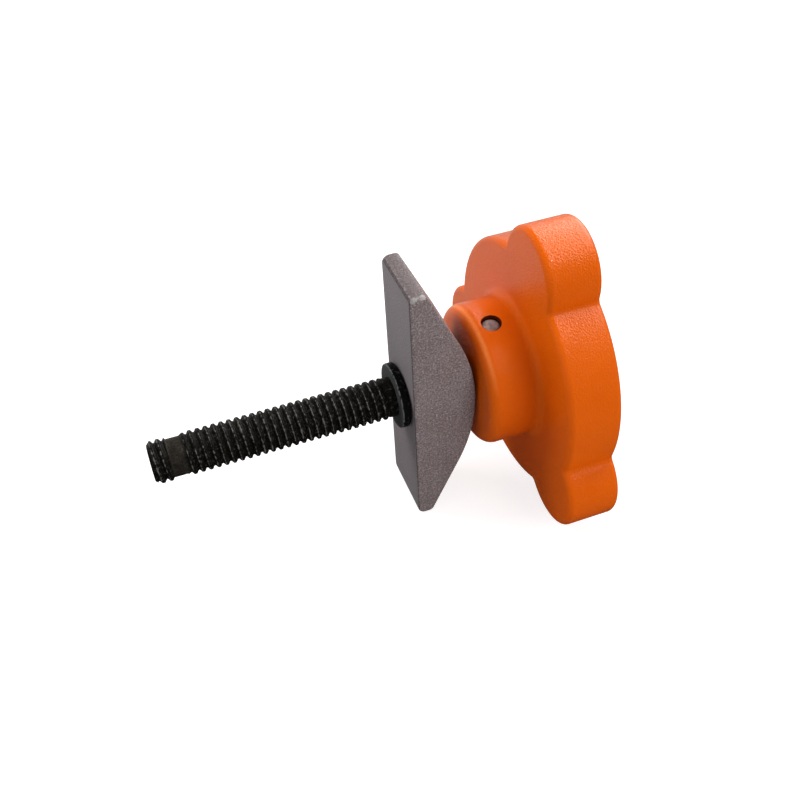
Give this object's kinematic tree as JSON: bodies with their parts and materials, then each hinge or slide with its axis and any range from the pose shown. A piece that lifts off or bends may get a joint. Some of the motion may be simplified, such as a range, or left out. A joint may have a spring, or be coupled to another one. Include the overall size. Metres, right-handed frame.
{
  "type": "folding lock",
  "caption": "Hand-tightened folding lock: a threaded stud with a free-turning gable-backed clamp plate kept by a ring, and an eared hand knob pinned to its end",
  "frame": {"origin": "on the stud's axis, in the plane of the clamp plate's flat clamping face", "axes": "X along the stud from its tip to the knob, Z along the clamp plate's length, Y across its width"},
  "size_m": [0.0806, 0.0585, 0.0596],
  "materials": {
    "hand_knob": "satin",
    "stud": "satin",
    "cross_pin": "satin",
    "clamp_plate": "matte",
    "retaining_ring": "satin"
  },
  "bodies": {
    "lock": {"hand_knob": "hand_knob", "stud": "stud", "cross_pin": "cross_pin", "retaining_ring": "retaining_ring"},
    "plate": {"clamp_plate": "clamp_plate"}
  },
  "joints": [
    {"name": "plate_swivel", "type": "hinge", "parent": "lock", "child": "plate", "pos_m": [0.005, 0, 0], "axis": [1, 0, 0], "continuous": true}
  ]
}
